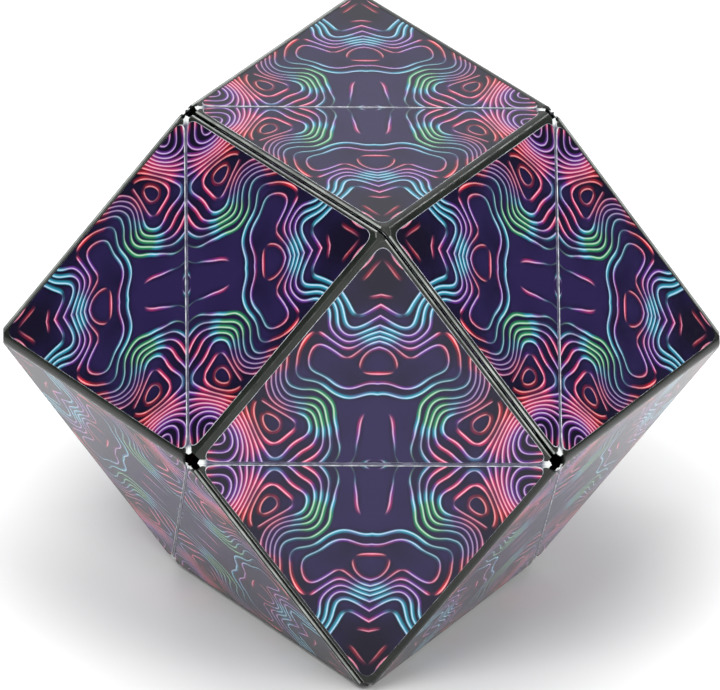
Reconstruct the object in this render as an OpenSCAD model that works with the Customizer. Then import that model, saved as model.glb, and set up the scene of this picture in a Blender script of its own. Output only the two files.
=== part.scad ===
// Folding magnetic puzzle: a closed ring of twelve hollow tetrahedral blocks on film hinges.
// Drawn folded into its hollow rhombic dodecahedron, lying on one rhombus. Folded the
// other way the same ring is a solid cube of side cube_side.
// Row frame: +X along the line between two opposite four-way points, +Z up, origin at the
// middle of the resting rhombus, on the surface it lies on.

/* [Size] */
// Side of the solid cube that the twelve blocks fold into
cube_side = 57; // [45:0.5:75]
// Clearance between the faces of two neighbouring blocks
face_gap = 0.3; // [0.2:0.05:0.5]

/* [Blocks] */
// Wall thickness of a moulded shell
wall = 1.8; // [1.4:0.1:2.4]
// Thickness of the base plate that closes a shell
plate_t = 1.6; // [1.2:0.1:2]
// Clearance between a base plate and its shell
plate_fit = 0.04; // [0.02:0.01:0.1]
// Rounding of the moulded edge between a block's two outer faces
solid_edge = 0.8; // [0.4:0.1:1]
// Rounding of the edges round the face that mates with another block
mating_edge = 0.7; // [0.4:0.1:0.9]
// Rounding of the two sharp edges that carry the hinges
hinge_edge = 0.25; // [0.15:0.05:0.4]
// How far a block's three sharp corners are cut back
corner_cut = 1.5; // [1:0.1:2.2]
// How far a block's blunt four-way corner is cut back
tip_cut = 0.8; // [0.4:0.1:1.2]

/* [Film] */
// Thickness of the printed film and of the hinge film
film_t = 0.2; // [0.15:0.05:0.3]
// Plain border between a printed panel and the block's edge
border = 1.15; // [1:0.05:2]
// Corner radius of a printed panel
panel_r = 1.6; // [0.5:0.1:3]
// Distance from the fold line to the printed panel
crease = 0.5; // [0.4:0.05:1]
// Reach of a hinge strip on each side of its fold line
strip_w = 3.5; // [2.5:0.1:5]

/* [Magnets] */
// Diameter of a disc magnet
magnet_d = 8; // [5:0.5:9]
// Height of a disc magnet
magnet_h = 3; // [1.5:0.5:3.5]
// Wall round a magnet's pocket
pocket_wall = 1.1; // [0.8:0.1:1.5]
// Clearance between a magnet and its pocket, on the radius
magnet_fit = 0.05; // [0.02:0.01:0.15]

/* [Hidden] */

a = cube_side;
r2 = sqrt(2);
g = face_gap / 2;   // every face of a block lies this far inside its nominal plane
// the shell's inner faces
w = g + wall;

// The ring. Each block stands on one face of the inner cube, outside it:
// [outward normal of that face, the cube corner at the block's right angle, in half sides],
// in crystal axes: +x right, +y up, +z to the front.
RING = [
    [[ 0,  1,  0], [ 1,  1,  1]],
    [[ 0,  0,  1], [ 1,  1,  1]],
    [[ 1,  0,  0], [ 1, -1,  1]],
    [[ 0, -1,  0], [ 1, -1,  1]],
    [[ 0,  0,  1], [-1, -1,  1]],
    [[-1,  0,  0], [-1, -1,  1]],
    [[ 0, -1,  0], [-1, -1, -1]],
    [[ 0,  0, -1], [-1, -1, -1]],
    [[-1,  0,  0], [-1,  1, -1]],
    [[ 0,  1,  0], [-1,  1, -1]],
    [[ 0,  0, -1], [ 1,  1, -1]],
    [[ 1,  0,  0], [ 1,  1, -1]]
];

function unit(v) = v / norm(v);
// The two directions along a cube face from one of its corners, towards the other corners
function inward(c, k) = [for (i = [0:2]) i == k ? -c[i] : 0];
function axes_of(f) = [for (i = [0:2]) if (f[i] == 0) i];
function dir_a(b) = inward(b[1], axes_of(b[0])[0]);
function dir_b(b) = inward(b[1], axes_of(b[0])[1]);
// Local x and y of a block, ordered so that x, y and the outward normal are right-handed
function right_handed(b) = cross(dir_a(b), dir_b(b)) * b[0] > 0;
function loc_x(b) = right_handed(b) ? dir_a(b) : dir_b(b);
function loc_y(b) = right_handed(b) ? dir_b(b) : dir_a(b);

// A block's local frame: right-angled corner at the origin, the two hinge legs along +x and
// +y, four-way corner at (a/2, a/2, a/2). Its faces are the base z = 0, the outer faces
// p (z = y) and q (z = x), and the mating face s (x + y = a).
n_p = [0, 1, -1] / r2;
n_q = [1, 0, -1] / r2;
n_s = [-1, -1, 0] / r2;
n_b = [0, 0, 1];

// Corners of the block after moving base, p, q and s in by these depths
function c0(b, p, q, s) = [b + q * r2, b + p * r2, b];
function c1(b, p, q, s) = [a - s * r2 - b - p * r2, b + p * r2, b];
function c2(b, p, q, s) = [b + q * r2, a - s * r2 - b - q * r2, b];
function ct(b, p, q, s) = let (z = (a - r2 * (s + p + q)) / 2) [z + q * r2, z + p * r2, z];

// Depth below the neighbouring face, of a point t from the edge and d below its own face
function dep(t, d, angle) = t * sin(angle) - d * cos(angle);

// A polygon with every corner cut back by its own amount
function cut(poly, back) = let (n = len(poly)) [for (i = [0:n - 1]) each [
    poly[i] + back[i] * unit(poly[(i + n - 1) % n] - poly[i]),
    poly[i] + back[i] * unit(poly[(i + 1) % n] - poly[i])]];

// A polygon with every corner rounded, each as a short run of points
function rounded(poly, r, steps = 4) = let (n = len(poly)) [for (i = [0:n - 1])
    let (u = unit(poly[(i + n - 1) % n] - poly[i]), v = unit(poly[(i + 1) % n] - poly[i]),
         t = r / tan(acos(u * v) / 2), m = poly[i])
    for (k = [0:steps]) let (j = k / steps)
        m + t * ((1 - j) * (1 - j) * u + j * j * v)];

// The solid between two polygons of the same number of points, b being beyond a
module loft(a, b) {
    n = len(a);
    up = cross(a[1] - a[0], a[n - 1] - a[0]) * (b[0] - a[0]) > 0;
    lo = up ? a : [for (i = [n - 1:-1:0]) a[i]];
    hi = up ? b : [for (i = [n - 1:-1:0]) b[i]];
    polyhedron(points = concat(lo, hi), faces = concat(
        [[for (i = [0:n - 1]) i]], [[for (i = [n - 1:-1:0]) n + i]],
        [for (i = [0:n - 1]) [i, n + i, n + (i + 1) % n, (i + 1) % n]]));
}

// A flat sheet on a face: its outline, moved in from depth d0 to depth d1 along the normal.
// The outline is given at the face's own plane, at depth g.
module sheet(outline, n, d0, d1) {
    loft([for (p = outline) p + (d0 - g) * n], [for (p = outline) p + (d1 - g) * n]);
}

// Outlines of the printed panels, at depth g, drawn smaller by x all round
function outline_p(x) = rounded([
    c0(dep(crease + x, g, 45), g, dep(border + x, g, 120), 0),
    c1(dep(crease + x, g, 45), g, 0, dep(border + x, g, 60)),
    ct(0, g, dep(border + x, g, 120), dep(border + x, g, 60))], panel_r);
function outline_q(x) = rounded([
    c0(dep(crease + x, g, 45), dep(border + x, g, 120), g, 0),
    c2(dep(crease + x, g, 45), 0, g, dep(border + x, g, 60)),
    ct(0, dep(border + x, g, 120), g, dep(border + x, g, 60))], panel_r);
function outline_s(x) = rounded([
    c1(dep(border + x, g, 90), dep(border + x, g, 60), 0, g),
    c2(dep(border + x, g, 90), 0, dep(border + x, g, 60), g),
    ct(0, dep(border + x, g, 60), dep(border + x, g, 60), g)], panel_r);
function outline_b(x) = let (m = dep(border + 0.2 + x, g, 45), h = border + 0.2 + x) rounded([
    c0(g, m, m, 0), c1(g, m, 0, h), c2(g, 0, m, h)], panel_r);

// Half of a hinge strip's outline, on face p, beside the x leg. Swapping x and y gives face q.
function half_strip(from) = [for (t = [from, strip_w]) let (e = corner_cut + 0.7 + t / r2)
    each (t == from ? [[e, t], [a - e, t]] : [[a - e, t], [e, t]])];
function on_p(h) = [for (k = h) [k[0], (k[1] + g) / r2, (k[1] - g) / r2]];
function swap_xy(h) = [for (k = h) [k[1], k[0], k[2]]];

// The whole block, solid, with its edges and corners dressed
module block_body() {
    s1 = g + solid_edge;
    s2 = g + mating_edge;
    s3 = g + hinge_edge;
    s4 = g + mating_edge;
    m0 = g + 0.3 * mating_edge;
    m1 = g + 0.3 * solid_edge;
    k = [corner_cut, corner_cut, tip_cut];
    mid = [c0(m0, m1, m1, m0), c1(m0, m1, m1, m0), c2(m0, m1, m1, m0), ct(m0, m1, m1, m0)];
    back = [corner_cut, corner_cut, corner_cut, tip_cut];
    pts = concat(
        cut([c0(g, s3, s3, 0), c1(g, s3, 0, s4), c2(g, 0, s3, s4)], [corner_cut, corner_cut, corner_cut]),
        cut([c0(s3, g, s1, 0), c1(s3, g, 0, s2), ct(0, g, s1, s2)], k),
        cut([c0(s3, s1, g, 0), c2(s3, 0, g, s2), ct(0, s1, g, s2)], k),
        cut([c1(s4, s2, 0, g), c2(s4, 0, s2, g), ct(0, s2, s2, g)], k),
        [for (i = [0:3]) for (j = [0:3]) if (i != j) mid[i] + (back[i] + 0.15) * unit(mid[j] - mid[i])]
    );
    hull() polyhedron(points = pts, faces = [[for (i = [0:len(pts) - 1]) i]]);
}

// Puts a child that is drawn on +Z from the origin at a point of a face, pointing inwards
module at_face(p, n) {
    translate(p) rotate([0, acos(n[2]), atan2(n[1], n[0])]) children();
}
// Middle of each magnet, on the shell's inner face
magnet_spots = [
    [[a / 2, 0.19 * a, 0.19 * a] + w * n_p, n_p],
    [[0.19 * a, a / 2, 0.19 * a] + w * n_q, n_q],
    [[a / 2, a / 2, 0.21 * a] + w * n_s, n_s]
];

module shell() {
    difference() {
        union() {
            difference() {
                block_body();
                polyhedron(points = [c0(-1, w, w, w), c1(-1, w, w, w), c2(-1, w, w, w), ct(0, w, w, w)],
                    faces = [[0, 1, 2], [0, 3, 1], [1, 3, 2], [2, 3, 0]]);
            }
            for (m = magnet_spots) at_face(m[0] - 0.4 * m[1], m[1])
                cylinder(r = magnet_d / 2 + magnet_fit + pocket_wall, h = magnet_h + 0.9, $fn = 48);
        }
        for (m = magnet_spots) at_face(m[0], m[1])
            cylinder(r = magnet_d / 2 + magnet_fit, h = magnet_h + 2, $fn = 48);
        sheet(outline_p(0), n_p, -1, g + film_t);
        sheet(outline_q(0), n_q, -1, g + film_t);
        sheet(outline_s(0), n_s, -1, g + film_t);
        sheet(outline_b(0), n_b, -1, g + film_t);
        sheet(on_p(half_strip(-2)), n_p, -1, g + 2 * film_t);
        sheet(swap_xy(on_p(half_strip(-2))), n_q, -1, g + 2 * film_t);
    }
}

module base_plate() {
    m = w + plate_fit;
    difference() {
        loft([c0(g, m, m, 0), c1(g, m, 0, m), c2(g, 0, m, m)],
             [c0(g + plate_t, m, m, 0), c1(g + plate_t, m, 0, m), c2(g + plate_t, 0, m, m)]);
        sheet(outline_b(0), n_b, -1, g + film_t);
    }
}

module magnets() {
    for (m = magnet_spots) at_face(m[0], m[1]) cylinder(d = magnet_d, h = magnet_h, $fn = 48);
}

module film_panels() {
    sheet(outline_p(0.03), n_p, g, g + film_t);
    sheet(outline_q(0.03), n_q, g, g + film_t);
    sheet(outline_s(0.03), n_s, g, g + film_t);
    sheet(outline_b(0.03), n_b, g, g + film_t);
}

// The whole hinge strip of the leg on face p
module hinge_strip() {
    h = half_strip(0);
    o = [h[0], h[3], h[2], h[1], [h[2][0], -h[2][1]], [h[3][0], -h[3][1]]];
    sheet(on_p([for (k = o) k]), n_p, g + film_t, g + 2 * film_t);
}

// Half of a strip, up to the fold line, where the ring is opened
module half_hinge_strip() {
    sheet(on_p(half_strip(0.05)), n_p, g + film_t + 0.02, g + 2 * film_t);
}

// Puts a block's local frame where the ring has it
module place(k) {
    b = RING[k];
    x = loc_x(b);
    y = loc_y(b);
    z = b[0];
    c = b[1] * a / 2;
    translate([0, 0, a / r2 - g]) rotate([45, 0, 0])
        multmatrix([[x[0], y[0], z[0], c[0]], [x[1], y[1], z[1], c[1]], [x[2], y[2], z[2], c[2]], [0, 0, 0, 1]])
            children();
}

// True where the leg that block k shares with block j is its local x leg
function leg_is_x(k, j) = let (c = RING[k][1], n = RING[j][0], far = c + 2 * loc_x(RING[k]))
    far * n > 0.5 && c * n > 0.5;
module leg_frame(k, j) {
    if (leg_is_x(k, j)) children();
    else mirror([1, -1, 0]) children();
}

module block_shell(k) { color("#1c1e1c") place(k) shell(); }
module block_plate(k) { color("#23252a") place(k) base_plate(); }
module block_magnets(k) { color("silver") place(k) magnets(); }
module block_film(k) {
    color("#3a3480") place(k) {
        film_panels();
        // blocks 1 and 2 (k = 0 and 1) keep the two halves of the opened hinge's strip
        if (k == 0) leg_frame(0, 1) half_hinge_strip();
        if (k == 1) leg_frame(1, 0) half_hinge_strip();
    }
}
module hinge_film(k, j) { color("#d8dad6") place(k) leg_frame(k, j) hinge_strip(); }

block_shell(0);  // wedge_01_shell
block_shell(1);  // wedge_02_shell
block_shell(2);  // wedge_03_shell
block_shell(3);  // wedge_04_shell
block_shell(4);  // wedge_05_shell
block_shell(5);  // wedge_06_shell
block_shell(6);  // wedge_07_shell
block_shell(7);  // wedge_08_shell
block_shell(8);  // wedge_09_shell
block_shell(9);  // wedge_10_shell
block_shell(10);  // wedge_11_shell
block_shell(11);  // wedge_12_shell
block_plate(0);  // wedge_01_base_plate
block_plate(1);  // wedge_02_base_plate
block_plate(2);  // wedge_03_base_plate
block_plate(3);  // wedge_04_base_plate
block_plate(4);  // wedge_05_base_plate
block_plate(5);  // wedge_06_base_plate
block_plate(6);  // wedge_07_base_plate
block_plate(7);  // wedge_08_base_plate
block_plate(8);  // wedge_09_base_plate
block_plate(9);  // wedge_10_base_plate
block_plate(10);  // wedge_11_base_plate
block_plate(11);  // wedge_12_base_plate
block_magnets(0);  // wedge_01_magnets
block_magnets(1);  // wedge_02_magnets
block_magnets(2);  // wedge_03_magnets
block_magnets(3);  // wedge_04_magnets
block_magnets(4);  // wedge_05_magnets
block_magnets(5);  // wedge_06_magnets
block_magnets(6);  // wedge_07_magnets
block_magnets(7);  // wedge_08_magnets
block_magnets(8);  // wedge_09_magnets
block_magnets(9);  // wedge_10_magnets
block_magnets(10);  // wedge_11_magnets
block_magnets(11);  // wedge_12_magnets
block_film(0);  // wedge_01_film_panels
block_film(1);  // wedge_02_film_panels
block_film(2);  // wedge_03_film_panels
block_film(3);  // wedge_04_film_panels
block_film(4);  // wedge_05_film_panels
block_film(5);  // wedge_06_film_panels
block_film(6);  // wedge_07_film_panels
block_film(7);  // wedge_08_film_panels
block_film(8);  // wedge_09_film_panels
block_film(9);  // wedge_10_film_panels
block_film(10);  // wedge_11_film_panels
block_film(11);  // wedge_12_film_panels
hinge_film(1, 2);  // hinge_02_03_film
hinge_film(2, 3);  // hinge_03_04_film
hinge_film(3, 4);  // hinge_04_05_film
hinge_film(4, 5);  // hinge_05_06_film
hinge_film(5, 6);  // hinge_06_07_film
hinge_film(6, 7);  // hinge_07_08_film
hinge_film(7, 8);  // hinge_08_09_film
hinge_film(8, 9);  // hinge_09_10_film
hinge_film(9, 10);  // hinge_10_11_film
hinge_film(10, 11);  // hinge_11_12_film
hinge_film(11, 0);  // hinge_12_01_film
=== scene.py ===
import math

import bmesh
import bpy
import numpy as np
from mathutils import Matrix, Vector


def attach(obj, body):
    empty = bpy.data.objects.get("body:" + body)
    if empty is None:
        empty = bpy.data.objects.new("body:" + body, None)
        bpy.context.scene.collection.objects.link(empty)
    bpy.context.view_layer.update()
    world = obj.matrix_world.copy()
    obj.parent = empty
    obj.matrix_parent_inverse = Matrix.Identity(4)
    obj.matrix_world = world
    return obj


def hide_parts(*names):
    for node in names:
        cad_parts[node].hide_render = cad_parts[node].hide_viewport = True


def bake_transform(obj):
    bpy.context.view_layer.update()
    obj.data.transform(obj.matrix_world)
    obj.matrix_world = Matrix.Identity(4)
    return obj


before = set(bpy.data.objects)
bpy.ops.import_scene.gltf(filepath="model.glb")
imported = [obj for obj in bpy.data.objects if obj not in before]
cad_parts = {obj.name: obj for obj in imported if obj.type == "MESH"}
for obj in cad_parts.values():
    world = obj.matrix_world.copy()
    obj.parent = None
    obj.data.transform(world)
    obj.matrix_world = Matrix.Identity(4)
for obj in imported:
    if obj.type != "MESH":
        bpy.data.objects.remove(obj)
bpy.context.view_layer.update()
scene = bpy.context.scene
scene.view_settings.view_transform = "Standard"
scene.view_settings.look = "None"

MM = 0.001
R2 = math.sqrt(2)
A = 57.0            # side of the folded cube
G = 0.15            # every face lies this far inside its nominal plane
WALL = 1.8
W = G + WALL
PLATE_T = 1.6
FILM = 0.2
BORDER = 1.15
PANEL_R = 1.6
STRIP_W = 3.5
FOLD = 0.22         # the printed film stops this far from the fold line
N = 12

RING = [
    ((0, 1, 0), (1, 1, 1)), ((0, 0, 1), (1, 1, 1)), ((1, 0, 0), (1, -1, 1)),
    ((0, -1, 0), (1, -1, 1)), ((0, 0, 1), (-1, -1, 1)), ((-1, 0, 0), (-1, -1, 1)),
    ((0, -1, 0), (-1, -1, -1)), ((0, 0, -1), (-1, -1, -1)), ((-1, 0, 0), (-1, 1, -1)),
    ((0, 1, 0), (-1, 1, -1)), ((0, 0, -1), (1, 1, -1)), ((1, 0, 0), (1, 1, -1)),
]
HINGES = [(k, (k + 1) % N) for k in range(1, N)]    # the ring is opened between blocks 1 and 2


def name_of(k):
    return f"wedge_{k + 1:02d}"


# ---------------------------------------------------------------- block geometry, millimetres

def legs(k):
    n, c = (np.array(x, float) for x in RING[k])
    axes = [i for i in range(3) if n[i] == 0]
    d = []
    for i in axes:
        v = np.zeros(3)
        v[i] = -c[i]
        d.append(v)
    if np.dot(np.cross(d[0], d[1]), n) < 0:
        d.reverse()
    return d[0], d[1], n, c


def place(k):
    x, y, n, c = legs(k)
    m = np.eye(4)
    m[:3, 0], m[:3, 1], m[:3, 2], m[:3, 3] = x, y, n, c * A / 2 * MM
    h = math.sqrt(0.5)
    rx = np.array([[1, 0, 0, 0], [0, h, -h, 0], [0, h, h, 0], [0, 0, 0, 1.0]])
    t = np.eye(4)
    t[2, 3] = (A / R2 - G) * MM
    return Matrix((t @ rx @ m).tolist())


PLACE = [place(k) for k in range(N)]
N_P = np.array([0, 1, -1]) / R2
N_Q = np.array([1, 0, -1]) / R2
N_S = np.array([-1, -1, 0]) / R2
N_B = np.array([0, 0, 1.0])


def c0(b, p, q, s):
    return np.array([b + q * R2, b + p * R2, b])


def c1(b, p, q, s):
    return np.array([A - s * R2 - b - p * R2, b + p * R2, b])


def c2(b, p, q, s):
    return np.array([b + q * R2, A - s * R2 - b - q * R2, b])


def ct(b, p, q, s):
    z = (A - R2 * (s + p + q)) / 2
    return np.array([z + q * R2, z + p * R2, z])


def dep(t, d, angle):
    return t * math.sin(math.radians(angle)) - d * math.cos(math.radians(angle))


def unit(v):
    return v / np.linalg.norm(v)


def rounded(poly, r, steps=8):
    out = []
    n = len(poly)
    for i in range(n):
        u, v = unit(poly[(i + n - 1) % n] - poly[i]), unit(poly[(i + 1) % n] - poly[i])
        t = r / math.tan(math.acos(float(np.dot(u, v))) / 2)
        for k in range(steps + 1):
            j = k / steps
            out.append(poly[i] + t * ((1 - j) ** 2 * u + j * j * v))
    return out


def outline_p(x, fold=0.5):
    f = dep(fold + x, G, 45)
    return rounded([c0(f, G, dep(BORDER + x, G, 120), 0), c1(f, G, 0, dep(BORDER + x, G, 60)),
                    ct(0, G, dep(BORDER + x, G, 120), dep(BORDER + x, G, 60))], PANEL_R - x)


def outline_q(x, fold=0.5):
    f = dep(fold + x, G, 45)
    return rounded([c0(f, dep(BORDER + x, G, 120), G, 0), c2(f, 0, G, dep(BORDER + x, G, 60)),
                    ct(0, dep(BORDER + x, G, 120), G, dep(BORDER + x, G, 60))], PANEL_R - x)


def outline_s(x):
    return rounded([c1(dep(BORDER + x, G, 90), dep(BORDER + x, G, 60), 0, G),
                    c2(dep(BORDER + x, G, 90), 0, dep(BORDER + x, G, 60), G),
                    ct(0, dep(BORDER + x, G, 60), dep(BORDER + x, G, 60), G)], PANEL_R - x)


def outline_b(x):
    m, h = dep(BORDER + 0.2 + x, G, 45), BORDER + 0.2 + x
    return rounded([c0(G, m, m, 0), c1(G, m, 0, h), c2(G, 0, m, h)], PANEL_R - x)


def new_object(name, bm, mats=()):
    mesh = bpy.data.meshes.new(name)
    bm.normal_update()
    bm.to_mesh(mesh)
    bm.free()
    ob = bpy.data.objects.new(name, mesh)
    scene.collection.objects.link(ob)
    for m in mats:
        mesh.materials.append(m)
    return ob


def add_loft(bm, rings, caps=True):
    """A closed solid through rings of the same number of points; returns its faces, ring by ring."""
    vs = [[bm.verts.new(Vector(p)) for p in ring] for ring in rings]
    n = len(rings[0])
    first = bm.faces.new(list(reversed(vs[0]))) if caps else None
    sides = []
    for lo, hi in zip(vs, vs[1:]):
        sides.append([bm.faces.new((lo[i], lo[(i + 1) % n], hi[(i + 1) % n], hi[i])) for i in range(n)])
    last = bm.faces.new(vs[-1]) if caps else None
    made = [f for s in sides for f in s] + ([first, last] if caps else [])
    bmesh.ops.recalc_face_normals(bm, faces=made)
    return first, sides, last


def prism(outline, n, d0, d1, name="cutter"):
    bm = bmesh.new()
    add_loft(bm, [[p + (d - G) * n for p in outline] for d in (d0, d1)])
    return new_object(name, bm)


# Outward planes (normal, offset) of the nominal faces, in the block's frame
def face_planes():
    a = {"b": (np.array([0, 0, -1.0]), 0.0), "p": (-N_P, 0.0), "q": (-N_Q, 0.0), "s": (-N_S, A / R2)}
    return a


def slerp(u, v, t):
    w = math.acos(max(-1, min(1, float(np.dot(u, v)))))
    return (math.sin((1 - t) * w) * u + math.sin(t * w) * v) / math.sin(w)


def fillet(planes, f1, f2, radius, segments):
    """Planes tangent to the fillet between two planes (each (normal, offset))."""
    (n1, o1), (n2, o2) = f1, f2
    # any point on the fillet's axis: in both planes moved in by the radius
    m = np.array([n1, n2])
    c = np.linalg.lstsq(m, np.array([o1 - radius, o2 - radius]), rcond=None)[0]
    for k in range(1, segments):
        n = slerp(n1, n2, k / segments)
        planes.append((n, float(np.dot(n, c)) + radius))


def block_planes():
    f = {k: (n, o - G) for k, (n, o) in face_planes().items()}
    planes = list(f.values())
    fillet(planes, f["b"], f["p"], 0.16, 6)
    fillet(planes, f["b"], f["q"], 0.16, 6)
    fillet(planes, f["p"], f["q"], 1.55, 8)
    fillet(planes, f["p"], f["s"], 0.5, 7)
    fillet(planes, f["q"], f["s"], 0.5, 7)
    fillet(planes, f["b"], f["s"], 0.7, 6)
    tips = [(c0(G, G, G, 0), "bpq", 1.5), (c1(G, G, 0, G), "bps", 1.5), (c2(G, 0, G, G), "bqs", 1.5),
            (ct(0, G, G, G), "pqs", 1.88)]
    corners = [t[0] for t in tips]
    for i, (v, names, back) in enumerate(tips):
        pts = [v + back * unit(corners[j] - v) for j in range(4) if j != i]
        n = unit(np.cross(pts[1] - pts[0], pts[2] - pts[0]))
        if np.dot(n, v - pts[0]) < 0:
            n = -n
        cut = (n, float(np.dot(n, pts[0])))
        planes.append(cut)
        for nm in names:
            fillet(planes, cut, f[nm], 0.55, 5)
    return planes


def convex(planes):
    bm = bmesh.new()
    bmesh.ops.create_cube(bm, size=400)
    for n, o in planes:
        geom = bm.verts[:] + bm.edges[:] + bm.faces[:]
        bmesh.ops.bisect_plane(bm, geom=geom, dist=1e-4, plane_co=Vector(n * o), plane_no=Vector(n), clear_outer=True)
        edges = [e for e in bm.edges if e.is_boundary]
        if edges:
            bmesh.ops.holes_fill(bm, edges=edges)
    bmesh.ops.remove_doubles(bm, verts=bm.verts, dist=2e-3)
    bmesh.ops.dissolve_degenerate(bm, edges=bm.edges, dist=2e-3)
    bmesh.ops.recalc_face_normals(bm, faces=bm.faces)
    return bm


def half_strip_outline(t0, t1, grow=0.0):
    out = []
    for t in (t0, t1):
        e = 1.5 + 0.7 - grow + t / R2
        out.append(((e, t), (A - e, t)))
    return [out[0][0], out[0][1], out[1][1], out[1][0]]


def on_p(s, t, d):
    return np.array([s, (t + d) / R2, (t - d) / R2])


def swap(p):
    return np.array([p[1], p[0], p[2]])


def block_shell_mesh():
    body = new_object("block_shell", convex(block_planes()))
    cutters = [prism(outline_p(0, FOLD - 0.03), N_P, -1, G + FILM), prism(outline_q(0, FOLD - 0.03), N_Q, -1, G + FILM),
               prism(outline_s(0), N_S, -1, G + FILM), prism(outline_b(0), N_B, -1, G + FILM)]
    for sw in (False, True):
        bm = bmesh.new()
        rings = []
        for d in (-1.0, G + 2 * FILM):
            ring = [on_p(s, t, d) for s, t in half_strip_outline(-2.0, STRIP_W, 0.0)]
            rings.append([swap(p) for p in ring] if sw else ring)
        add_loft(bm, rings)
        cutters.append(new_object("cutter", bm))
    bm = bmesh.new()
    pts = [c0(-1, W, W, W), c1(-1, W, W, W), c2(-1, W, W, W), ct(0, W, W, W)]
    bmesh.ops.convex_hull(bm, input=[bm.verts.new(Vector(p)) for p in pts])
    cutters.append(new_object("cutter", bm))
    for c in cutters:
        m = body.modifiers.new("cut", "BOOLEAN")
        m.operation, m.object, m.solver = "DIFFERENCE", c, "EXACT"
    bpy.context.view_layer.update()
    mesh = bpy.data.meshes.new_from_object(body.evaluated_get(bpy.context.evaluated_depsgraph_get()))
    for ob in [body, *cutters]:
        bpy.data.objects.remove(ob)
    bm = bmesh.new()
    bm.from_mesh(mesh)
    bmesh.ops.remove_doubles(bm, verts=bm.verts, dist=1e-3)
    bmesh.ops.dissolve_limit(bm, angle_limit=math.radians(0.4), verts=bm.verts, edges=bm.edges)
    bmesh.ops.triangulate(bm, faces=[f for f in bm.faces if len(f.verts) > 4])
    bmesh.ops.scale(bm, vec=Vector((MM, MM, MM)), verts=bm.verts)
    bm.to_mesh(mesh)
    bm.free()
    mesh.name = "block_shell"
    return mesh


# ---------------------------------------------------------------- node graphs

class V:
    """A number in a node graph, with arithmetic."""
    nt = None

    def __init__(self, s):
        self.s = s

    @staticmethod
    def math(op, *args, clamp=False):
        node = V.nt.nodes.new("ShaderNodeMath")
        node.operation, node.use_clamp = op, clamp
        for i, x in enumerate(args):
            V.put(x, node.inputs[i])
        return V(node.outputs[0])

    @staticmethod
    def put(x, socket):
        if isinstance(x, V):
            V.nt.links.new(x.s, socket)
        elif isinstance(x, bpy.types.NodeSocket):
            V.nt.links.new(x, socket)
        else:
            socket.default_value = x

    def __add__(self, o): return V.math("ADD", self, o)
    __radd__ = __add__
    def __sub__(self, o): return V.math("SUBTRACT", self, o)
    def __rsub__(self, o): return V.math("SUBTRACT", o, self)
    def __mul__(self, o): return V.math("MULTIPLY", self, o)
    __rmul__ = __mul__
    def __truediv__(self, o): return V.math("DIVIDE", self, o)
    def __pow__(self, o): return V.math("POWER", self, o)


def vabs(x): return V.math("ABSOLUTE", x)
def vmax(x, y): return V.math("MAXIMUM", x, y)
def vsqrt(x): return V.math("SQRT", x)
def fract(x): return V.math("FRACT", x)


def ramp(x, a, b, lo=0.0, hi=1.0):
    """Smooth step of x from a to b."""
    node = V.nt.nodes.new("ShaderNodeMapRange")
    node.interpolation_type = "SMOOTHSTEP"
    V.put(x, node.inputs["Value"])
    node.inputs["From Min"].default_value = a
    node.inputs["From Max"].default_value = b
    node.inputs["To Min"].default_value = lo
    node.inputs["To Max"].default_value = hi
    return V(node.outputs["Result"])


def rgb(h, k=1.0):
    c = [int(h[i:i + 2], 16) / 255 for i in (1, 3, 5)]
    return tuple(k * (x / 12.92 if x <= 0.04045 else ((x + 0.055) / 1.055) ** 2.4) for x in c) + (1.0,)


def mix(fac, a, b, mode="MIX"):
    node = V.nt.nodes.new("ShaderNodeMix")
    node.data_type, node.blend_type = "RGBA", mode
    V.put(fac, node.inputs[0])
    V.put(a, node.inputs[6])
    V.put(b, node.inputs[7])
    return node.outputs[2]


def noise(vec, scale, detail=2.0, rough=0.5, out="Fac"):
    node = V.nt.nodes.new("ShaderNodeTexNoise")
    node.inputs["Scale"].default_value = scale
    node.inputs["Detail"].default_value = detail
    node.inputs["Roughness"].default_value = rough
    if vec is not None:
        V.nt.links.new(vec, node.inputs["Vector"])
    return V(node.outputs[0] if out == "Fac" else node.outputs[1])


def bump(height, strength, distance, normal=None):
    node = V.nt.nodes.new("ShaderNodeBump")
    node.inputs["Strength"].default_value = strength
    node.inputs["Distance"].default_value = distance
    V.put(height, node.inputs["Height"])
    if normal is not None:
        V.nt.links.new(normal, node.inputs["Normal"])
    return node.outputs["Normal"]


def material(name):
    m = bpy.data.materials.new(name)
    m.use_nodes = True
    V.nt = m.node_tree
    p = m.node_tree.nodes["Principled BSDF"]
    return m, p, m.node_tree


def object_coords():
    return V.nt.nodes.new("ShaderNodeTexCoord").outputs["Object"]


# ---------------------------------------------------------------- the printed pattern
# A generic stand-in for the print: contour lines of a noise field, of even width, mirrored about both diagonals of a
# rhombus so that they join at the fold. Colour follows a second, slower noise. No motif is placed by hand.
# X runs along the fold line from its middle, Y from the fold line to the four-way tip.

PALETTES = {
    "outer": dict(ground=("#171130", "#231b42", "#0e0a18"), level=9.4,
                  ink=("#2a9c60", "#34a6c2", "#6c309a", "#d4366e", "#e8303a")),
    "base": dict(ground=("#12184e", "#1a2862", "#0c0f2a"), level=11.3,
                 ink=("#e89038", "#e8407c", "#5a3cd8", "#2f92e8", "#22c8b4")),
    "mating": dict(ground=("#17112c", "#20182f", "#0d0a16"), level=19.1,
                   ink=("#247456", "#245870", "#3a2470", "#5a389c", "#70309c")),
}


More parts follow.
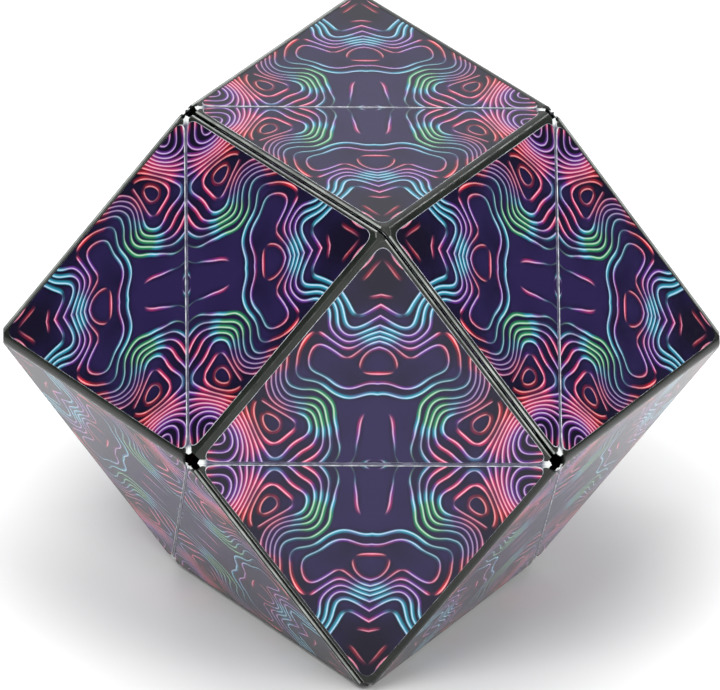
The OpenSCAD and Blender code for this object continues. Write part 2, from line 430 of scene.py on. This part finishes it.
def artwork(kind):
    pal = PALETTES[kind]
    ground = [rgb(h) for h in pal["ground"]]
    ink = [rgb(h) for h in pal["ink"]]
    uv = V.nt.nodes.new("ShaderNodeUVMap")
    uv.uv_map = "print"
    sep = V.nt.nodes.new("ShaderNodeSeparateXYZ")
    V.nt.links.new(uv.outputs[0], sep.inputs[0])
    x = vabs(V(sep.outputs[0]))
    y = vabs(V(sep.outputs[1]))

    def at(px, py, dz=0.0):
        node = V.nt.nodes.new("ShaderNodeCombineXYZ")
        V.put(px, node.inputs[0])
        V.put(py, node.inputs[1])
        node.inputs[2].default_value = pal["level"] + dz
        return node.outputs[0]

    def height(px, py):
        return noise(at(px, py), 0.080, 0.8, 0.35) * 19.0

    # contour height and its slope, so that a line is as wide in millimetres on a gentle slope as on a steep one
    e = 0.12
    f = height(x, y)
    fx, fy = height(x + e, y) - f, height(x, y + e) - f
    slope = vmax(vsqrt(fx * fx + fy * fy) / e, 0.30)
    n = noise(at(x, y, 40.0), 0.07, 1.5)
    t = noise(at(x, y, 80.0), 0.075, 1.0)
    w = noise(at(x, y, 120.0), 0.10, 1.0)

    c = mix(ramp(n, 0.40, 0.62), ground[0], ground[1])
    c = mix(ramp(n, 0.50, 0.34, 0.0, 0.8), c, ground[2])
    line = ink[0]
    for colour, lo in zip(ink[1:], (0.38, 0.44, 0.49, 0.55)):
        line = mix(ramp(t, lo, lo + 0.045), line, colour)

    near = vabs(fract(f + 0.5) - 0.5) / slope
    side = fract(f) / slope
    bold = ramp(w, 0.42, 0.56)
    present = ramp(n, 0.31, 0.41) * ramp(slope, 0.32, 0.55)
    glow = vmax(ramp(side, 0.62, 0.0), ramp(near, 0.30, 0.02)) * present
    c = mix(ramp(near, 1.2, 0.3) * present * 0.5, c, rgb("#090710"))
    c = mix(glow * (0.20 + 0.55 * bold), c, line)
    core = mix(0.42, line, (0.80, 0.72, 0.76, 1))
    return mix(ramp(near, 0.145, 0.055) * present * (0.55 + 0.40 * bold), c, core)


def film_material(kind):
    m, p, nt = material("printed_film_" + kind)
    nt.links.new(artwork(kind), p.inputs["Base Color"])
    oc = object_coords()
    n = noise(oc, 900.0, 3.0)
    V.put(ramp(n, 0.3, 0.75, 0.09, 0.17), p.inputs["Roughness"])
    slow = noise(oc, 55.0, 1.0)
    fine = noise(oc, 2400.0, 2.0)
    nt.links.new(bump(fine, 0.03, 0.00002, bump(slow, 0.06, 0.0006)), p.inputs["Normal"])
    p.inputs["IOR"].default_value = 1.43
    p.inputs["Specular IOR Level"].default_value = 0.36
    return m


def plastic(name, dark, light, rough, grain, scale=2600.0, streak=True):
    m, p, nt = material(name)
    oc = object_coords()
    n = noise(oc, 160.0, 4.0)
    nt.links.new(mix(ramp(n, 0.3, 0.7), rgb(dark), rgb(light)), p.inputs["Base Color"])
    V.put(ramp(noise(oc, 420.0, 5.0, 0.6), 0.3, 0.72, rough[0], rough[1]), p.inputs["Roughness"])
    nt.links.new(bump(noise(oc, scale, 3.0), grain, 0.00003), p.inputs["Normal"])
    p.inputs["IOR"].default_value = 1.52
    p.inputs["Specular IOR Level"].default_value = 0.32
    return m


def edge_material():
    m, p, nt = material("film_cut_edge")
    oc = object_coords()
    n = noise(oc, 700.0, 3.0)
    nt.links.new(mix(ramp(n, 0.35, 0.7), rgb("#8a8e98"), rgb("#cfd3d6")), p.inputs["Base Color"])
    V.put(ramp(n, 0.3, 0.7, 0.2, 0.45), p.inputs["Roughness"])
    return m


def hinge_material():
    m, p, nt = material("hinge_film_painted_shade_and_glint")
    oc = object_coords()
    n = noise(oc, 500.0, 4.0)
    uv = V.nt.nodes.new("ShaderNodeUVMap")
    uv.uv_map = "print"
    sep = V.nt.nodes.new("ShaderNodeSeparateXYZ")
    V.nt.links.new(uv.outputs[0], sep.inputs[0])
    # painted glint: the strip turns pale at both ends, next to the corner holes
    end = ramp(vabs(V(sep.outputs[0])), 25.3, 26.3)
    # painted shade: the dark grey-purple body stands in for the shade in the fold the strip lies in
    c = mix(ramp(n, 0.3, 0.7), rgb("#34324a"), rgb("#5c5a70"))
    nt.links.new(mix(end, c, rgb("#d6dad8")), p.inputs["Base Color"])
    V.put(ramp(n, 0.3, 0.7, 0.14, 0.3), p.inputs["Roughness"])
    nt.links.new(bump(noise(oc, 1800.0, 2.0), 0.08, 0.00003), p.inputs["Normal"])
    p.inputs["Coat Weight"].default_value = 0.3
    return m


def magnet_material():
    m, p, nt = material("nickel_plate")
    oc = object_coords()
    n = noise(oc, 1200.0, 4.0)
    nt.links.new(mix(ramp(n, 0.3, 0.7), rgb("#b9b8b2"), rgb("#d2d1cc")), p.inputs["Base Color"])
    V.put(ramp(n, 0.3, 0.7, 0.16, 0.34), p.inputs["Roughness"])
    p.inputs["Metallic"].default_value = 1.0
    return m


SHELL = plastic("shell_plastic_black", "#151815", "#212520", (0.16, 0.30), 0.08)
# pale painted highlight for the fillets along the mating edges, standing in for the white reflections along the seams
EDGE_HIGHLIGHT = plastic("shell_plastic_painted_edge_highlight", "#6a6e6a", "#a4a8a4", (0.12, 0.26), 0.05)
PLATE = plastic("plate_plastic_black", "#1b1d21", "#25282c", (0.34, 0.5), 0.14)
CUT = edge_material()
HINGE = hinge_material()
NICKEL = magnet_material()
PRINT = {k: film_material(k) for k in PALETTES}

# ---------------------------------------------------------------- camera
AZ, EL, ROLL = (math.radians(v) for v in (3.83086, 28.68225, 2.13234))
TX, TY, TZ, F_PX = -2.780e-4, -1.0511e-3, 1.75434, 11316.4
fwd = Vector((math.sin(AZ) * math.cos(EL), math.cos(AZ) * math.cos(EL), -math.sin(EL)))
right = fwd.cross(Vector((0, 0, 1))).normalized()
up = right.cross(fwd)
rr = math.cos(ROLL) * right + math.sin(ROLL) * up
uu = -math.sin(ROLL) * right + math.cos(ROLL) * up
eye = -TZ * fwd + TX * rr + TY * uu + Vector((0, 0, 0.04))
cam_data = bpy.data.cameras.new("camera")
cam_data.sensor_width = 36.0
cam_data.lens = 36.0 * F_PX / 720
cam_data.clip_start, cam_data.clip_end = 0.1, 60
cam = bpy.data.objects.new("camera", cam_data)
scene.collection.objects.link(cam)
m = Matrix((rr, uu, -fwd)).transposed().to_4x4()
m.translation = eye
cam.matrix_world = m
scene.camera = cam

# ---------------------------------------------------------------- pieces

def ride(ob, k, kind, *nodes):
    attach(ob, name_of(k))
    if nodes:
        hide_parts(*nodes)


shell_mesh = block_shell_mesh()
shell_mesh.materials.clear()
shell_mesh.materials.append(SHELL)
shell_mesh.materials.append(EDGE_HIGHLIGHT)
# the two middle facets of each p–s and q–s fillet take the pale painted highlight material
HIGHLIGHT_NORMALS = [Vector(slerp(-n, -N_S, k / 7)) for n in (N_P, N_Q) for k in (3, 4)]
for poly in shell_mesh.polygons:
    poly.material_index = 1 if any(poly.normal.dot(n) > 0.9996 for n in HIGHLIGHT_NORMALS) else 0
    poly.use_smooth = False


def put(mesh, name, k):
    """A copy of a block's mesh where the ring has block k, in the row frame."""
    mesh = mesh.copy()
    mesh.name = name
    mesh.transform(PLACE[k])
    ob = bpy.data.objects.new(name, mesh)
    scene.collection.objects.link(ob)
    return ob


for k in range(N):
    ob = put(shell_mesh, f"{name_of(k)}_moulded_shell", k)
    ride(ob, k, "shell_plastic", f"{name_of(k)}_shell")

UV_OF = {
    "p": lambda v: (v.x - A / 2, (v.y + v.z) / R2),
    "q": lambda v: (v.y - A / 2, (v.x + v.z) / R2),
    "s": lambda v: ((v.x - v.y) / R2 / R2, v.z * R2),
    "b": lambda v: ((v.x - v.y) / R2 / R2, (A - v.x - v.y) / R2),
}


def add_panel(bm, uv_layer, outline, n, which, index):
    ch = 0.075
    rings = [[p + (G + FILM - G) * n for p in outline(0.03)],
             [p + ch * n for p in outline(0.03)],
             [p for p in outline(0.03 + ch)]]
    first, sides, last = add_loft(bm, rings)
    for f in [first, last] + [g for s in sides for g in s]:
        for loop in f.loops:
            loop[uv_layer].uv = UV_OF[which](loop.vert.co)
    last.material_index = index
    for s in sides:
        for f in s:
            f.material_index = 3


def panel_mesh():
    bm = bmesh.new()
    uv = bm.loops.layers.uv.new("print")
    add_panel(bm, uv, lambda x: outline_p(x, FOLD), N_P, "p", 0)
    add_panel(bm, uv, lambda x: outline_q(x, FOLD), N_Q, "q", 0)
    add_panel(bm, uv, outline_s, N_S, "s", 2)
    add_panel(bm, uv, outline_b, N_B, "b", 1)
    bmesh.ops.scale(bm, vec=Vector((MM, MM, MM)), verts=bm.verts)
    mesh = bpy.data.meshes.new("film_panels")
    bm.to_mesh(mesh)
    bm.free()
    for mt in (PRINT["outer"], PRINT["base"], PRINT["mating"], CUT):
        mesh.materials.append(mt)
    return mesh


panels = panel_mesh()
for k in range(N):
    ob = put(panels, f"{name_of(k)}_printed_film", k)
    ride(ob, k, "printed_film", f"{name_of(k)}_film_panels")


def shares_x_leg(k, j):
    x, _, _, c = legs(k)
    nj = np.array(RING[j][0], float)
    return np.dot(c + 2 * x, nj) > 0.5 and np.dot(c, nj) > 0.5


def strip_depth(t):
    """Depth of the strip's upper side: under the printed film, and up in the fold between the two films."""
    u = min(max((abs(t) - 0.08) / 0.20, 0), 1)
    return 0.17 + (G + FILM + 0.015 - 0.17) * u * u * (3 - 2 * u)


def strip_object(name, k, j, ts):
    """A thin curved strip along the leg that blocks k and j share, in the row frame, with t in ts."""
    is_x = shares_x_leg(k, j)
    bm = bmesh.new()
    uv = bm.loops.layers.uv.new("print")
    top, bottom, at = [], [], {}
    cols = 24
    for t in ts:
        e = 1.55 + abs(t) * 0.62
        rows = ([], [])
        for i in range(cols + 1):
            s = e + (A - 2 * e) * i / cols
            for row, d in zip(rows, (strip_depth(t), strip_depth(t) + 0.14)):
                p = on_p(s, t, d)
                if t < 0:   # on the neighbour's face, which lies in the same plane at rest
                    p = on_p(s, 0, 0) + t * np.array([0, 1, 1]) / R2 + d * N_P
                v = bm.verts.new(Vector((p if is_x else swap(p)) * MM))
                at[v] = (s - A / 2, t)
                row.append(v)
        top.append(rows[0])
        bottom.append(rows[1])
    faces = []
    for a, b in zip(range(len(ts)), range(1, len(ts))):
        for i in range(cols):
            faces.append(bm.faces.new((top[a][i], top[a][i + 1], top[b][i + 1], top[b][i])))
            faces.append(bm.faces.new((bottom[a][i], bottom[b][i], bottom[b][i + 1], bottom[a][i + 1])))
    for i in range(cols):
        faces.append(bm.faces.new((top[0][i], bottom[0][i], bottom[0][i + 1], top[0][i + 1])))
        faces.append(bm.faces.new((top[-1][i], top[-1][i + 1], bottom[-1][i + 1], bottom[-1][i])))
    for a in range(len(ts) - 1):
        faces.append(bm.faces.new((top[a][0], top[a + 1][0], bottom[a + 1][0], bottom[a][0])))
        faces.append(bm.faces.new((top[a][-1], bottom[a][-1], bottom[a + 1][-1], top[a + 1][-1])))
    bmesh.ops.recalc_face_normals(bm, faces=faces)
    for f in bm.faces:
        for loop in f.loops:
            loop[uv].uv = at[loop.vert]
    for v in bm.verts:
        v.co = PLACE[k] @ v.co
    ob = new_object(name, bm, [HINGE])
    return ob, is_x


HALF = [0.0, 0.05, 0.10, 0.16, 0.22, 0.28, 0.34, 0.5, 1.2, 2.3, 3.4]
FULL = [-t for t in reversed(HALF[1:])] + HALF
for k, j in HINGES:
    a, b = sorted((k, j)) if (k, j) != (11, 0) else (11, 0)
    ob, is_x = strip_object(f"hinge_strip_{a + 1:02d}_{b + 1:02d}", k, j, FULL)
    t_dir = np.array([0, 1, 1]) / R2
    mid = np.array([A / 2, 0, 0]) + 0.2 * N_P
    ends = [mid + s * 0.34 * t_dir for s in (1, -1)]
    start, end = (PLACE[k] @ Vector((p if is_x else swap(p)) * MM) for p in ends)
    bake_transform(ob)
    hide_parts(f"hinge_{a + 1:02d}_{b + 1:02d}_film")

OPEN = [0.02] + HALF[1:]
for k, j in ((0, 1), (1, 0)):
    ob, _ = strip_object(f"{name_of(k)}_open_hinge_strip", k, j, OPEN)
    ride(ob, k, "hinge_film")

for k in range(N):
    for node, mat in ((f"{name_of(k)}_base_plate", PLATE), (f"{name_of(k)}_magnets", NICKEL)):
        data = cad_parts[node].data
        data.materials.clear()
        data.materials.append(mat)

# ---------------------------------------------------------------- floor and light
m, p, nt = material("floor_white_painted_shadow")
p.inputs["Base Color"].default_value = (0.64, 0.64, 0.64, 1)
p.inputs["Roughness"].default_value = 0.9
p.inputs["Specular IOR Level"].default_value = 0.1
p.inputs["Emission Color"].default_value = (1, 1, 1, 1)
oc = object_coords()
sp = nt.nodes.new("ShaderNodeSeparateXYZ")
nt.links.new(oc, sp.inputs[0])
far = vsqrt(V(sp.outputs[0]) ** 2.0 + V(sp.outputs[1]) ** 2.0)
# the floor glows, dimmed within 36 to 80 mm of the middle: a painted shadow under and around the ring
V.put(ramp(far, 0.036, 0.080, 0.03, 0.42), p.inputs["Emission Strength"])
bm = bmesh.new()
bmesh.ops.create_grid(bm, x_segments=1, y_segments=1, size=26.0)
floor = new_object("floor", bm, [m])
floor.location = (0, 0, -0.0004)

world = bpy.data.worlds.new("studio")
scene.world = world
world.use_nodes = True
V.nt = world.node_tree
bg = world.node_tree.nodes["Background"]
tc = world.node_tree.nodes.new("ShaderNodeTexCoord")
sp = world.node_tree.nodes.new("ShaderNodeSeparateXYZ")
world.node_tree.links.new(tc.outputs["Generated"], sp.inputs[0])
wy, wz = V(sp.outputs[1]), V(sp.outputs[2])
back = ramp(wy, 0.35, 0.8)
over = ramp(wz, 0.55, 0.95)
level = 0.10 + 0.98 * back + 0.35 * over + 0.6 * ramp(vabs(wz), 0.11, 0.06) * (1.0 - back) * ramp(wy, -0.55, -0.25)
V.put(level, bg.inputs["Strength"])
bg.inputs["Color"].default_value = (0.97, 0.98, 1.0, 1)


def area(name, at, look, size, power, color=(1, 1, 1)):
    data = bpy.data.lights.new(name, "AREA")
    data.shape = "RECTANGLE"
    data.size, data.size_y = size
    data.energy = power
    data.color = color
    ob = bpy.data.objects.new(name, data)
    scene.collection.objects.link(ob)
    d = Vector(look) - Vector(at)
    ob.matrix_world = Matrix.Translation(Vector(at)) @ d.to_track_quat("-Z", "Y").to_matrix().to_4x4()
    return ob


area("key", (-0.55, -0.75, 1.25), (0, 0, 0.04), (0.9, 0.7), 16)
area("fill", (0.85, -0.7, 0.95), (0, 0, 0.04), (0.7, 0.7), 8)
area("top", (0.0, 0.25, 1.5), (0, 0, 0.04), (1.0, 1.0), 6)
area("front", (0.1, -1.5, 0.5), (0, 0, 0.04), (0.9, 0.6), 6)
area("card_right", (1.16, -0.96, 0.22), (0, 0, 0.04), (0.16, 0.5), 2.2)
area("card_left", (-1.02, -1.1, 0.25), (0, 0, 0.04), (0.10, 0.4), 0.8)
area("card_back_left", (-0.76, 0.71, 1.08), (0, 0, 0.04), (0.25, 0.25), 2.2)
area("card_back_right", (0.85, 0.73, 0.95), (0, 0, 0.04), (0.18, 0.18), 1.0)
